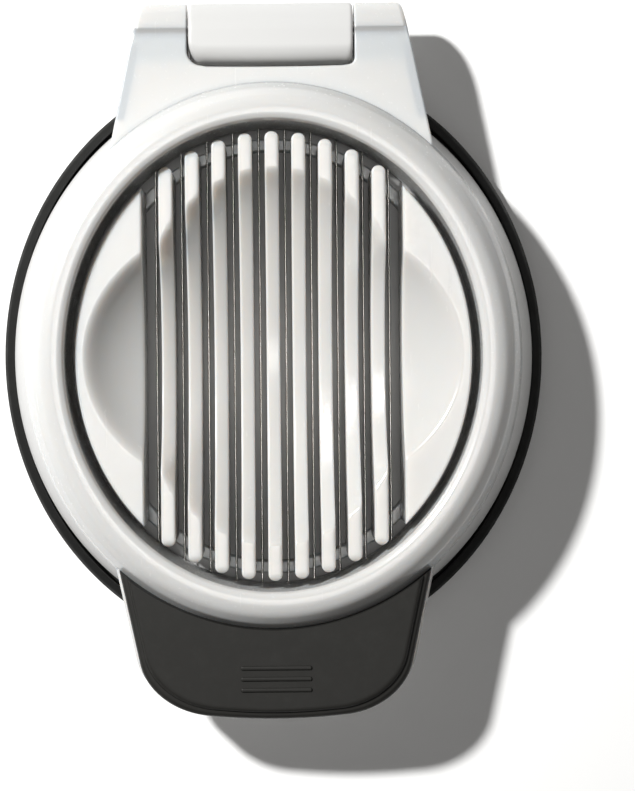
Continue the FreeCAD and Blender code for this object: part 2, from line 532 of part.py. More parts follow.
# ---------------------------------------------------------------- check and write
doc.recompute()
bad = [o.Name for o in doc.Objects if "Invalid" in o.State or "Error" in o.State]
if bad:
    raise RuntimeError("failed objects: " + ", ".join(bad))
os.makedirs("parts", exist_ok=True)
for name, obj in nodes.items():
    shape = obj.Shape
    if shape.isNull() or not shape.isValid():
        raise RuntimeError("bad shape: " + name)
    if not shape.Solids:
        raise RuntimeError("no solid: " + name)
    bb = shape.BoundBox
    print("%-22s solids %2d  vol %9.1f  x %.2f..%.2f  y %.2f..%.2f  z %.2f..%.2f" % (
        name, len(shape.Solids), shape.Volume, bb.XMin, bb.XMax, bb.YMin, bb.YMax, bb.ZMin, bb.ZMax))
for name, obj in nodes.items():
    obj.Shape.exportStep("parts/%s.step" % name)
print("nodes", len(nodes))
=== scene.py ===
import math

import bpy
import numpy as np
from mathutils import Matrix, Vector


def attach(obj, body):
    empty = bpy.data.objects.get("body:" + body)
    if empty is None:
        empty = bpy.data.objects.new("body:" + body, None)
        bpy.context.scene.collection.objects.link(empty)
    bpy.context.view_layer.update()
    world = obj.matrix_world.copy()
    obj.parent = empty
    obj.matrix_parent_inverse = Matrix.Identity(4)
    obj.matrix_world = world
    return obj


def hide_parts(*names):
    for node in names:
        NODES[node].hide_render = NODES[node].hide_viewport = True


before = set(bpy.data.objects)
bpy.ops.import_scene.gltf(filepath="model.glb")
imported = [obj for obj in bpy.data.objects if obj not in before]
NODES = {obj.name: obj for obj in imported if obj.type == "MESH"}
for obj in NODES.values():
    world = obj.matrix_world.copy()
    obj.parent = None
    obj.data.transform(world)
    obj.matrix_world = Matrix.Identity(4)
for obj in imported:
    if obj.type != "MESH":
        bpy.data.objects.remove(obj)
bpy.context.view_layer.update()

MM = 0.001
PIN_Y, PIN_Z = 77.9, 16.4

scene = bpy.context.scene
scene.view_settings.view_transform = "Standard"
scene.view_settings.look = "None"


# ------------------------------------------------------------------ materials
def new_material(name):
    m = bpy.data.materials.new(name)
    m.use_nodes = True
    nt = m.node_tree
    nt.nodes.clear()
    out = nt.nodes.new("ShaderNodeOutputMaterial")
    bsdf = nt.nodes.new("ShaderNodeBsdfPrincipled")
    nt.links.new(bsdf.outputs["BSDF"], out.inputs["Surface"])
    coord = nt.nodes.new("ShaderNodeTexCoord")
    return m, nt, bsdf, coord


def noise(nt, coord, scale, detail=3.0, rough=0.5, stretch=None):
    src = coord.outputs["Object"]
    if stretch:
        mp = nt.nodes.new("ShaderNodeMapping")
        mp.inputs["Scale"].default_value = stretch
        nt.links.new(src, mp.inputs["Vector"])
        src = mp.outputs["Vector"]
    n = nt.nodes.new("ShaderNodeTexNoise")
    n.inputs["Scale"].default_value = scale
    n.inputs["Detail"].default_value = detail
    n.inputs["Roughness"].default_value = rough
    nt.links.new(src, n.inputs["Vector"])
    return n.outputs["Fac"]


def remap(nt, fac, lo, hi, a=0.3, b=0.7):
    r = nt.nodes.new("ShaderNodeMapRange")
    r.inputs["From Min"].default_value = a
    r.inputs["From Max"].default_value = b
    r.inputs["To Min"].default_value = lo
    r.inputs["To Max"].default_value = hi
    nt.links.new(fac, r.inputs["Value"])
    return r.outputs["Result"]


def mix(nt, fac, c1, c2):
    n = nt.nodes.new("ShaderNodeMix")
    n.data_type = "RGBA"
    nt.links.new(fac, n.inputs["Factor"])
    for key, c in (("A", c1), ("B", c2)):
        sock = [s for s in n.inputs if s.name == key and s.type == "RGBA"][0]
        if isinstance(c, tuple):
            sock.default_value = (*c, 1.0)
        else:
            nt.links.new(c, sock)
    return [s for s in n.outputs if s.type == "RGBA"][0]


def bump(nt, bsdf, layers):
    """layers: list of (height, strength, distance in metres), finest last."""
    prev = None
    for h, strength, dist in layers:
        b = nt.nodes.new("ShaderNodeBump")
        b.inputs["Strength"].default_value = strength
        b.inputs["Distance"].default_value = dist
        nt.links.new(h, b.inputs["Height"])
        if prev is not None:
            nt.links.new(prev, b.inputs["Normal"])
        prev = b.outputs["Normal"]
    nt.links.new(prev, bsdf.inputs["Normal"])


def scratches(nt, coord, scale, angle, width=0.02):
    """Sparse fine hairlines: a thresholded, stretched noise."""
    mp = nt.nodes.new("ShaderNodeMapping")
    mp.inputs["Rotation"].default_value = (0, 0, angle)
    mp.inputs["Scale"].default_value = (1.0, 0.035, 1.0)
    nt.links.new(coord.outputs["Object"], mp.inputs["Vector"])
    n = nt.nodes.new("ShaderNodeTexNoise")
    n.inputs["Scale"].default_value = scale
    n.inputs["Detail"].default_value = 2.0
    nt.links.new(mp.outputs["Vector"], n.inputs["Vector"])
    return remap(nt, n.outputs["Fac"], 0.0, 1.0, 0.70, 0.70 + width)


def white_plastic(name, base, rough=0.24, glow=0.5, grain=0.03):
    m, nt, bsdf, co = new_material(name)
    warm = tuple(c * f for c, f in zip(base, (0.985, 0.98, 0.965)))
    cloud = remap(nt, noise(nt, co, 28.0, 4.0), 0.0, 0.6)
    nt.links.new(mix(nt, cloud, base, warm), bsdf.inputs["Base Color"])
    fine = noise(nt, co, 1400.0, 3.0)
    scr = scratches(nt, co, 900.0, 0.5)
    add = nt.nodes.new("ShaderNodeMath")
    add.operation = "MULTIPLY_ADD"
    nt.links.new(scr, add.inputs[0])
    add.inputs[1].default_value = 0.10
    nt.links.new(remap(nt, fine, rough - 0.05, rough + 0.06), add.inputs[2])
    nt.links.new(add.outputs[0], bsdf.inputs["Roughness"])
    bsdf.inputs["IOR"].default_value = 1.48
    bsdf.inputs["Specular IOR Level"].default_value = 0.5
    bsdf.inputs["Subsurface Weight"].default_value = glow
    bsdf.inputs["Subsurface Radius"].default_value = (0.0060, 0.0046, 0.0036)
    bsdf.inputs["Subsurface Scale"].default_value = 1.0
    bump(nt, bsdf, [(noise(nt, co, 55.0, 2.0), 0.10 if grain else 0.02, 0.00022), (noise(nt, co, 2600.0, 2.0), grain, 0.00002)])
    return m


def dark_rubber(name, base, rough, grain, grain_strength, dust, spec):
    m, nt, bsdf, co = new_material(name)
    pale = tuple(c * 1.9 + 0.006 for c in base)
    speck = remap(nt, noise(nt, co, 420.0, 5.0, 0.65), 0.0, dust, 0.48, 0.75)
    nt.links.new(mix(nt, speck, base, pale), bsdf.inputs["Base Color"])
    nt.links.new(remap(nt, noise(nt, co, 260.0, 4.0), rough - 0.07, rough + 0.07), bsdf.inputs["Roughness"])
    bsdf.inputs["Specular IOR Level"].default_value = spec
    bump(nt, bsdf, [(noise(nt, co, 160.0, 2.0), 0.08, 0.00012), (noise(nt, co, grain, 3.0), grain_strength, 0.00004)])
    return m


def steel(name, base, rough, stretch):
    m, nt, bsdf, co = new_material(name)
    dark = tuple(c * 0.78 for c in base)
    lines = noise(nt, co, 2400.0, 3.0, 0.6, stretch)
    nt.links.new(mix(nt, remap(nt, lines, 0.0, 0.7), base, dark), bsdf.inputs["Base Color"])
    bsdf.inputs["Metallic"].default_value = 1.0
    nt.links.new(remap(nt, noise(nt, co, 700.0, 4.0, 0.6, stretch), rough - 0.06, rough + 0.10), bsdf.inputs["Roughness"])
    bump(nt, bsdf, [(lines, 0.12, 0.00002)])
    return m


M_RING = white_plastic("white_frame_plastic", (0.560, 0.560, 0.557), 0.22, 0.5)
M_BASE = white_plastic("white_base_plastic", (0.555, 0.555, 0.552), 0.42, 0.0, 0.0)
M_DISH = white_plastic("white_cradle_plastic", (0.570, 0.566, 0.557), 0.20, 0.8)
M_RUBBER = dark_rubber("black_foot_rubber", (0.0085, 0.0085, 0.008), 0.66, 2300.0, 0.20, 0.15, 0.16)
M_GRIP = dark_rubber("soft_grip_rubber", (0.0165, 0.016, 0.0145), 0.50, 2900.0, 0.22, 0.12, 0.26)
M_WIRE = steel("drawn_wire_steel", (0.60, 0.585, 0.56), 0.22, (1.0, 0.04, 1.0))
M_STEEL = steel("bright_steel", (0.52, 0.52, 0.53), 0.30, (1.0, 1.0, 0.2))


# ------------------------------------------------------------------ mesh helpers
def outward(v, faces):
    """The faces of a closed shell, turned so that they look outwards."""
    p = np.array(v, float)
    vol = 0.0
    for f in faces:
        for k in range(1, len(f) - 1):
            vol += float(np.dot(p[f[0]], np.cross(p[f[k]], p[f[k + 1]])))
    return faces if vol > 0 else [tuple(f)[::-1] for f in faces]


def make(name, parts, mat, body, replaces, sharp=38.0):
    """parts: list of (vertices in mm, faces), each a closed shell."""
    verts, faces = [], []
    for v, f in parts:
        f = outward(v, f)
        base = len(verts)
        verts.extend(v)
        faces.extend([tuple(i + base for i in face) for face in f])
    me = bpy.data.meshes.new(name)
    me.from_pydata([(x * MM, y * MM, z * MM) for x, y, z in verts], [], faces)
    me.validate()
    me.update()
    for p in me.polygons:
        p.use_smooth = True
    me.set_sharp_from_angle(angle=math.radians(sharp))
    me.materials.append(mat)
    ob = bpy.data.objects.new(name, me)
    scene.collection.objects.link(ob)
    wn = ob.modifiers.new("weighted_normals", "WEIGHTED_NORMAL")
    wn.keep_sharp = True
    wn.weight = 60
    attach(ob, body)
    if replaces:
        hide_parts(*replaces)
    return ob


def fillet(points, steps=5):
    """Closed outline with rounded corners. points: (u, v, radius)."""
    out = []
    n = len(points)
    for i in range(n):
        p0, p1, p2 = (np.array(points[j][:2], float) for j in ((i - 1) % n, i, (i + 1) % n))
        r = points[i][2]
        if r <= 0:
            out.append(tuple(p1))
            continue
        a, b = p0 - p1, p2 - p1
        la, lb = np.linalg.norm(a), np.linalg.norm(b)
        a, b = a / la, b / lb
        ang = math.acos(max(-1.0, min(1.0, float(a @ b))))
        if ang > math.pi - 0.02:
            out.append(tuple(p1))
            continue
        tan = min(r / math.tan(ang / 2), la * 0.49, lb * 0.49)
        rr = tan * math.tan(ang / 2)
        bis = (a + b) / np.linalg.norm(a + b)
        c = p1 + bis * rr / math.sin(ang / 2)
        s, e = p1 + a * tan, p1 + b * tan
        t0 = math.atan2(*(s - c)[::-1])
        t1 = math.atan2(*(e - c)[::-1])
        d = (t1 - t0 + math.pi) % (2 * math.pi) - math.pi
        k = max(2, int(steps * abs(d) / (math.pi / 2)) + 1)
        for j in range(k + 1):
            t = t0 + d * j / k
            out.append((c[0] + rr * math.cos(t), c[1] + rr * math.sin(t)))
    return out


def sweep(profile, a0, b0, n=300):
    """A closed (offset, height) profile carried round the oval of half-axes a0 (X) and b0 (Y)."""
    m = len(profile)
    verts, faces = [], []
    for i in range(n):
        t = 2 * math.pi * i / n
        for r, z in profile:
            verts.append(((a0 + r) * math.cos(t), (b0 + r) * math.sin(t), z))
    area = sum(profile[j][0] * profile[(j + 1) % m][1] - profile[(j + 1) % m][0] * profile[j][1] for j in range(m))
    for i in range(n):
        k = (i + 1) % n
        for j in range(m):
            q = (j + 1) % m
            f = (i * m + j, k * m + j, k * m + q, i * m + q)
            faces.append(f if area > 0 else f[::-1])
    return verts, faces


def ccw(outline):
    n = len(outline)
    area = sum(outline[i][0] * outline[(i + 1) % n][1] - outline[(i + 1) % n][0] * outline[i][1] for i in range(n))
    return list(outline) if area > 0 else list(outline)[::-1]


def inset(outline, d):
    """The outline moved inwards by d. Works on a counter-clockwise outline."""
    n = len(outline)
    p = np.array(outline, float)
    e = np.roll(p, -1, 0) - p
    e /= np.linalg.norm(e, axis=1)[:, None]
    nrm = np.stack([-e[:, 1], e[:, 0]], 1)
    prev = np.roll(nrm, 1, 0)
    bis = nrm + prev
    bis /= np.linalg.norm(bis, axis=1)[:, None]
    cosh = np.clip((bis * nrm).sum(1), 0.35, 1.0)
    return p + bis * (d / cosh)[:, None]


def slab(outline, levels):
    """A solid whose plan is the outline and whose edge follows levels: (inset, height), bottom to top."""
    outline = ccw(outline)
    n = len(outline)
    verts, faces = [], []
    for d, z in levels:
        for x, y in inset(outline, d):
            verts.append((float(x), float(y), z))
    for k in range(len(levels) - 1):
        for i in range(n):
            j = (i + 1) % n
            faces.append((k * n + i, k * n + j, (k + 1) * n + j, (k + 1) * n + i))
    faces.append(tuple(range(n))[::-1])
    faces.append(tuple((len(levels) - 1) * n + i for i in range(n)))
    return verts, faces


def edge_levels(z0, z1, r0, r1, steps=5):
    """Levels for a slab with rounded bottom (r0) and top (r1) edges."""
    out = []
    for k in range(steps + 1):
        t = math.pi / 2 * k / steps
        out.append((r0 - r0 * math.sin(t), z0 + r0 - r0 * math.cos(t)))
    for k in range(steps + 1):
        t = math.pi / 2 * k / steps
        out.append((r1 - r1 * math.cos(t), z1 - r1 + r1 * math.sin(t)))
    return out


def loft_x(sections):
    """sections: list of (list of points (x, y, z)), one closed loop each, same count, in order along +X."""
    m = len(sections[0])
    verts = [p for s in sections for p in s]
    faces = []
    for k in range(len(sections) - 1):
        for i in range(m):
            j = (i + 1) % m
            faces.append((k * m + i, (k + 1) * m + i, (k + 1) * m + j, k * m + j))
    return verts, faces, m


# ------------------------------------------------------------------ frame ring: ring, rear plate, arms, tongue
RING = fillet([
    (0.0, 9.0, 0.3), (0.0, 31.2, 1.2), (0.45, 32.4, 0.8), (1.5, 32.95, 1.6), (3.4, 32.98, 3.0), (5.6, 32.3, 4.0),
    (7.9, 29.6, 4.0), (9.4, 26.0, 4.0), (10.05, 23.4, 0.6), (10.2, 22.9, 0.3), (10.2, 21.9, 0.25), (8.4, 21.9, 0.2),
    (8.1, 24.0, 1.5), (6.6, 28.0, 2.0), (4.4, 30.1, 1.0), (2.0, 30.1, 0.8), (2.0, 9.0, 0.3)], 6)
ring_shell = sweep(RING, 49.5, 55.8, 360)


def half_at(y):
    return 39.85 - (y - 45.0) * (39.85 - 31.5) / 40.6


def notch_front(x):
    """Front edge of the notch that takes the hinge block, slightly bowed."""
    return 69.62 - 0.25 * (1 - (x / 20.1) ** 2)


def plate_outline():
    """Plan of the rear plate: ring side, two tapered sides, and the notch for the hinge block."""
    x0 = half_at(49.0)
    pts = [(-x0 + 2 * x0 * k / 48, 62.6 * math.sqrt(1 - ((-x0 + 2 * x0 * k / 48) / 57.6) ** 2)) for k in range(49)]
    for k in range(1, 15):
        y = 49.0 + (78.9 - 49.0) * k / 14
        pts.append((half_at(y) - max(0.0, (k - 12) * 0.12), y))
    pts += [(20.1, 78.9), (20.1, 74.0)]
    rc = 1.6
    pts += [(20.1 - rc + rc * math.cos(t), 69.75 + rc - rc * math.sin(t))
            for t in [math.pi / 2 * k / 6 for k in range(7)]]
    pts += [(x, notch_front(x)) for x in np.linspace(17.0, -15.6, 25)]
    rc = 3.6
    pts += [(-20.1 + rc - rc * math.sin(t), 69.75 + rc - rc * math.cos(t))
            for t in [math.pi / 2 * k / 8 for k in range(9)]]
    pts += [(-20.1, 75.5), (-20.1, 78.9)]
    for k in range(0, 15):
        y = 78.9 - (78.9 - 49.0) * k / 15
        pts.append((-half_at(y) + max(0.0, (2 - k) * 0.12), y))
    return [(float(x), float(y)) for x, y in pts]


plate_shell = slab(plate_outline(), [(0.3, 22.0), (0.0, 22.3), (0.0, 22.9)] + edge_levels(22.9, 24.0, 0.0, 0.5, 4)[6:])


def arm(side):
    """One hinge arm: a D-shaped cheek round the pin, with rounded edges and a bore."""
    prof = []
    for k in range(49):
        t = math.pi / 2 - (1.5 * math.pi) * k / 48
        prof.append((PIN_Y + 7.6 * math.cos(t), PIN_Z + 7.6 * math.sin(t)))
    prof += [(PIN_Y - 7.6, PIN_Z + s) for s in (2.0, 4.0, 5.4)]
    prof += [(PIN_Y - 7.2, PIN_Z + 6.6), (PIN_Y - 5.6, PIN_Z + 6.9), (PIN_Y - 2.2, PIN_Z + 6.9), (PIN_Y - 1.0, PIN_Z + 7.2)]
    prof = ccw(prof)
    r_out, r_in = 1.3, 0.45
    secs = []

    def ring_at(d, xf):
        loop = inset(prof, d)
        return [(side * xf(float(y)), float(y), float(z)) for y, z in loop]

    m = 6
    for k in range(m + 1):
        t = math.pi / 2 * k / m
        d, dx = r_in * (1 - math.sin(t)), r_in * (1 - math.cos(t))
        secs.append(ring_at(d, lambda y, dx=dx: 20.1 + dx))
    for k in range(m + 1):
        t = math.pi / 2 * k / m
        d, dx = r_out * (1 - math.cos(t)), r_out * (1 - math.sin(t))
        secs.append(ring_at(d, lambda y, dx=dx: half_at(y) - dx))
    verts, faces, n = loft_x(secs)
    # caps with the pin bore in them
    c = np.array([PIN_Y, PIN_Z])
    base = len(verts)
    inner = inset(prof, r_in)
    outer = inset(prof, r_out)

    def circle(ref, xf, rad):
        out = []
        for y, z in ref:
            d = np.array([y, z]) - c
            d /= np.linalg.norm(d)
            yy, zz = c + d * rad
            out.append((side * xf(float(yy)), float(yy), float(zz)))
        return out

    verts += circle(inner, lambda y: 20.1, 2.05)
    verts += circle(outer, lambda y: half_at(y) - 0.25, 2.3)
    verts += circle(outer, lambda y: half_at(y) - 0.5, 2.05)
    last = (len(secs) - 1) * n
    for i in range(n):
        j = (i + 1) % n
        faces.append((base + i, i, j, base + j))
        faces.append((last + i, base + n + i, base + n + j, last + j))
        faces.append((base + n + i, base + 2 * n + i, base + 2 * n + j, base + n + j))
        faces.append((base + 2 * n + i, base + i, base + j, base + 2 * n + j))
    if side < 0:
        faces = [f[::-1] for f in faces]
    return verts, faces


def side_wall(side):
    pts = [(half_at(56.8) - 0.02, 56.8, 0), (half_at(75.0) - 0.02, 75.0, 0), (half_at(75.0) - 2.2, 75.0, 0),
           (half_at(56.8) - 2.2, 56.8, 0.6)]
    return slab([(side * x, y) for x, y in fillet(pts, 4)], edge_levels(17.0, 23.6, 0.4, 0.3, 3))


def handle_outline(inset_side, root_grow, front_y, corner=14.5):
    """Plan of the handle: two tapered sides, a slightly bowed front, and a root that follows the ring."""
    a, b = 59.7 + root_grow, 64.9 + root_grow

    def hx(y):
        return 38.7 - (-47.5 - y) * (38.7 - 30.4) / 38.8 - inset_side

    lo, hi = -62.0, -44.0           # the side line leaves the oval between these
    for _ in range(60):
        mid = (lo + hi) / 2
        if (hx(mid) / a) ** 2 + (mid / b) ** 2 > 1:
            lo = mid
        else:
            hi = mid
    y_root = lo
    x_root = hx(y_root)
    fy = front_y + inset_side
    out = []
    # right side, from the root forward
    y_turn = fy + corner * 0.92
    for k in range(13):
        y = y_root + (y_turn - y_root) * k / 12
        out.append((hx(y), y))
    # rounded corner: a smooth curve from the side line to the bowed front
    p0 = np.array([hx(y_turn), y_turn])
    p1 = np.array([hx(fy + 1.6), fy + 1.5])
    p2 = np.array([p1[0] - corner * 1.02, fy + 0.72])
    for k in range(1, 21):
        t = k / 20
        # a conic close to a circular arc
        w = 0.78
        q0, q1, q2 = (1 - t) ** 2, 2 * w * t * (1 - t), t * t
        out.append(tuple((p0 * q0 + p1 * q1 + p2 * q2) / (q0 + q1 + q2)))
    x2 = float(p2[0])
    for k in range(1, 21):
        x = x2 - 2 * x2 * k / 20
        out.append((x, fy + 0.72 * (x / x2) ** 2))
    left = [(-x, y) for x, y in reversed(out[:33])]
    out += left[1:]
    t0 = math.atan2(y_root / b, -x_root / a)
    t1 = math.atan2(y_root / b, x_root / a)
    root = [(a * math.cos(t0 + (t1 - t0) * k / 60), b * math.sin(t0 + (t1 - t0) * k / 60)) for k in range(1, 60)]
    return out + root


def handle_slab(levels, root_levels, front_y):
    """levels: (inset of the sides and front, height); root_levels: growth of the root oval at each level."""
    loops = [handle_outline(d, g, front_y) for (d, z), g in zip(levels, root_levels)]
    n = len(loops[0])
    flip = sum(loops[0][i][0] * loops[0][(i + 1) % n][1] - loops[0][(i + 1) % n][0] * loops[0][i][1]
               for i in range(n)) < 0
    verts = [(float(x), float(y), z) for loop, (d, z) in zip(loops, levels) for x, y in loop]
    faces = []
    for k in range(len(levels) - 1):
        for i in range(n):
            j = (i + 1) % n
            f = (k * n + i, k * n + j, (k + 1) * n + j, (k + 1) * n + i)
            faces.append(f[::-1] if flip else f)
    low, top = tuple(range(n)), tuple((len(levels) - 1) * n + i for i in range(n))
    faces += [low, top[::-1]] if flip else [low[::-1], top]
    return verts, faces


TONGUE_EDGE = edge_levels(21.9, 25.0, 0.7, 0.3, 4)
tongue_shell = handle_slab(TONGUE_EDGE, [-1.4] * len(TONGUE_EDGE), -85.4)
frame_ring = make("frame_ring_moulding",
                  [ring_shell, plate_shell, arm(1), arm(-1), side_wall(1), side_wall(-1), tongue_shell],
                  M_RING, "cutting_frame", ["frame_ring"])

# ------------------------------------------------------------------ grip
GRIP_EDGE = [(0.7, 25.0), (0.3, 25.15), (0.05, 25.5), (0.0, 26.0), (0.0, 27.3), (0.08, 27.8), (0.3, 28.25), (0.65, 28.55),
             (1.05, 28.66), (1.45, 28.62), (1.62, 28.72), (1.72, 29.0), (1.86, 29.3), (2.1, 29.5), (2.45, 29.58),
             (2.9, 29.6)]
GRIP_EDGE = [(d + 0.8, z) for d, z in GRIP_EDGE]
grip_parts = [handle_slab(GRIP_EDGE, [0.05 + (max(0.0, z - 29.2) * 0.7) ** 1.5 for d, z in GRIP_EDGE], -87.1)]
for k in (-1, 0, 1):
    yc = -76.6 + 2.6 * k
    bar = fillet([(-8.5, yc - 0.55, 0.5), (8.5, yc - 0.55, 0.5), (8.5, yc + 0.55, 0.5), (-8.5, yc + 0.55, 0.5)], 6)
    grip_parts.append(slab(bar, [(0.0, 29.4), (0.0, 29.62), (0.06, 29.8), (0.2, 29.93), (0.38, 29.98)]))
grip = make("handle_soft_grip", grip_parts, M_GRIP, "cutting_frame", ["handle_grip"])

# ------------------------------------------------------------------ hinge block
def hinge_block():
    """Barrel at the back, squared front with a rounded top edge, softly rounded ends and front corners."""
    top, rc = 24.0, 4.5
    base = []
    for k in range(61):                      # back of the barrel, from the top round to the underside
        t = math.pi / 2 - math.pi * k / 60
        base.append((PIN_Y + 7.6 * math.cos(t), PIN_Z + 7.6 * math.sin(t)))
    base += [(PIN_Y - 2.0, PIN_Z - 7.6), (PIN_Y - 5.0, PIN_Z - 7.6), (PIN_Y - 7.2, PIN_Z - 7.5), (PIN_Y - 7.6, PIN_Z - 7.1),
             (PIN_Y - 7.6, PIN_Z - 4.0), (PIN_Y - 7.6, PIN_Z), (PIN_Y - 7.6, 19.5)]
    for k in range(1, 17):
        t = math.pi - math.pi / 2 * k / 16
        base.append((PIN_Y - 7.6 + rc + rc * math.cos(t), top - rc + rc * math.sin(t)))
    base += [(75.6, top), (76.6, top)]
    base = ccw(base)
    r = 0.8
    half = 19.75
    ends = [(half - r * (1 - math.cos(t)), r * (1 - math.sin(t))) for t in [math.pi / 2 * k / 6 for k in range(7)]]
    left = sorted((-x, d) for x, d in ends)
    right = sorted(ends)
    mids = [-(half - r) + 2 * (half - r) * k / 80 for k in range(1, 80)]
    secs = []
    for x, d in left + [(x, 0.0) for x in mids] + right:
        cr = 3.4 if x < 0 else 1.6           # plan radius of the front corner
        edge = half - cr
        pull = 0.30 * (x / half) ** 2
        if abs(x) > edge:
            pull += cr - math.sqrt(max(0.0, cr * cr - (abs(x) - edge) ** 2))
        pull = min(pull, 3.6)
        loop = []
        for y, z in inset(base, d):
            if y < PIN_Y and z > PIN_Z - 6:
                y = PIN_Y - (PIN_Y - y) * (1 - pull / 7.6)
            loop.append((float(x), float(y), float(z)))
        secs.append(loop)
    verts, faces, n = loft_x(secs)
    last = (len(secs) - 1) * n
    c = np.array([PIN_Y, PIN_Z])
    start = len(verts)
    for x, ref in ((secs[0][0][0], secs[0]), (secs[-1][0][0], secs[-1])):
        for _, y, z in ref:
            dd = np.array([y, z]) - c
            dd /= np.linalg.norm(dd)
            yy, zz = c + dd * 2.02
            verts.append((x, float(yy), float(zz)))
    for i in range(n):
        j = (i + 1) % n
        faces.append((start + i, i, j, start + j))
        faces.append((last + i, start + n + i, start + n + j, last + j))
        faces.append((start + n + i, start + i, start + j, start + n + j))
    return verts, faces


web = slab(fillet([(-19.2, 66.6, 0.2), (19.2, 66.6, 0.2), (19.2, 77.0, 1.2), (-19.2, 77.0, 1.2)], 5),
           edge_levels(8.9, 16.2, 0.6, 0.5, 4))
block = make("hinge_block_moulding", [hinge_block(), web], M_BASE, "base", ["hinge_block"])

# ------------------------------------------------------------------ base housing
# offsets are from the top oval 59.9 x 65.2
HOUSE = fillet([
    (-2.2, 21.5, 0.5), (0.0, 21.5, 0.6), (3.85, 6.5, 3.0), (4.1, 2.0, 0.3), (-2.0, 2.0, 0.2), (-2.0, 4.5, 0.2),
    (1.35, 4.5, 1.5), (1.1, 7.0, 2.0)], 5)
house_wall = sweep(HOUSE, 59.9, 65.2, 360)


def floor_plate():
    """The closed floor inside the housing."""
    rim = [(59.4 * math.cos(t), 64.7 * math.sin(t)) for t in [2 * math.pi * k / 240 for k in range(240)]]
    return slab(rim, [(0.0, 2.0), (0.0, 4.5)])


pad = slab(fillet([(-17.0, 63.4, 0.6), (17.0, 63.4, 0.6), (17.0, 65.0, 0.2), (-17.0, 65.0, 0.2)], 4),
           edge_levels(4.2, 15.0, 0.2, 0.5, 3))
housing = make("base_housing_moulding", [house_wall, floor_plate(), pad], M_BASE, "base",
               ["base_housing"])

# ------------------------------------------------------------------ rubber ring
RUBBER = fillet([
    (0.0, 0.0, 0.4), (5.9, 0.0, 0.7), (6.6, 1.0, 1.0), (6.55, 3.2, 2.0), (5.7, 5.2, 1.6), (4.05, 6.5, 0.25),
    (3.7, 6.5, 0.1), (3.9, 2.1, 0.1), (0.0, 2.0, 0.3)], 6)
rubber = make("non_slip_band", [sweep(RUBBER, 60.0, 66.9, 360)], M_RUBBER, "base", ["non_slip_ring"])

# ------------------------------------------------------------------ egg cradle
TOP = 28.0


def bowl(x, y, a, b):
    """Height of one egg bowl: the lower cap of an ellipsoid whose middle is 8 mm above the rim."""
    f = 24.5 / math.sqrt(24.5 ** 2 - 8.0 ** 2)
    q = (x / (a * f)) ** 2 + (y / (b * f)) ** 2
    if q < 0.97:
        return TOP + 8.0 - 24.5 * math.sqrt(1 - q)
    return TOP + 8.0 - 24.5 * math.sqrt(0.03) + (q - 0.97) * 70


def smin(a, b, k):
    h = max(k - abs(a - b), 0.0) / k
    return min(a, b) - h * h * k / 4


def height(x, y, k):
    z = smin(bowl(x, y, 33.6, 44.1), bowl(x, y, 44.1, 33.6), 1.0)
    return smin(z, TOP, k)


def slat(k):
    """One slat: a thin wall with rounded top edges and rounded ends."""
    xc = 6.35 * k
    w = 1.675
    end = 53.6 * math.sqrt(1 - (xc / 47.3) ** 2)
    r = 0.45
    cols = [(-1.0, 0.0)]
    for j in range(1, 5):
        t = math.pi / 2 * j / 4
        cols.append((-(1 - (r - r * math.cos(t)) / w), None))
    us = []
    for j in range(5):
        t = math.pi / 2 * j / 4
        us.append((-w + r - r * math.cos(t), r - r * math.sin(t)))
    inner = [(u, 0.0) for u in (-0.7, -0.25, 0.25, 0.7)]
    section = us + inner + [(-u, d) for u, d in reversed(us)]
    ys = []
    n_bowl = 120
    rim = 44.1 * math.sqrt(max(0.05, 1 - (xc / 33.6) ** 2)) + 1.5
    for j in range(n_bowl + 1):
        ys.append(rim * math.sin(-math.pi / 2 + math.pi * j / n_bowl))
    step = [rim + (end - 2.2 - rim) * j / 14 for j in range(1, 15)]
    tip = [end - 2.2 + 2.2 * math.sin(math.pi / 2 * j / 10) for j in range(1, 11)]
    tip[-1] = end - 0.012
    ys = [-y for y in reversed(step + tip)] + ys + step + tip
    bottoms = 5.4
    verts, faces = [], []
    m = len(section) + 2
    for y in ys:
        near = abs(y) - (end - w)
        f = 1.0 if near <= 0 else math.sqrt(max(0.0, 1 - (near / w) ** 2))
        f = max(f, 0.02)
        e = end - abs(y)
        drop = 0.0
        re = 1.5
        if e < re:
            drop = re - math.sqrt(max(0.0, re * re - (re - e) ** 2))
        row = []
        for u, d in section:
            x = xc + u * f
            row.append((x, y, height(x, y, 2.2) - d - drop * 0.9))
        verts.append((xc - w * f, y, bottoms))
        verts.extend(row)
        verts.append((xc + w * f, y, bottoms))
    for i in range(len(ys) - 1):
        for j in range(m):
            q = (j + 1) % m
            faces.append((i * m + j, i * m + q, (i + 1) * m + q, (i + 1) * m + j))
    faces.append(tuple(range(m))[::-1])
    faces.append(tuple((len(ys) - 1) * m + j for j in range(m)))
    return verts, faces


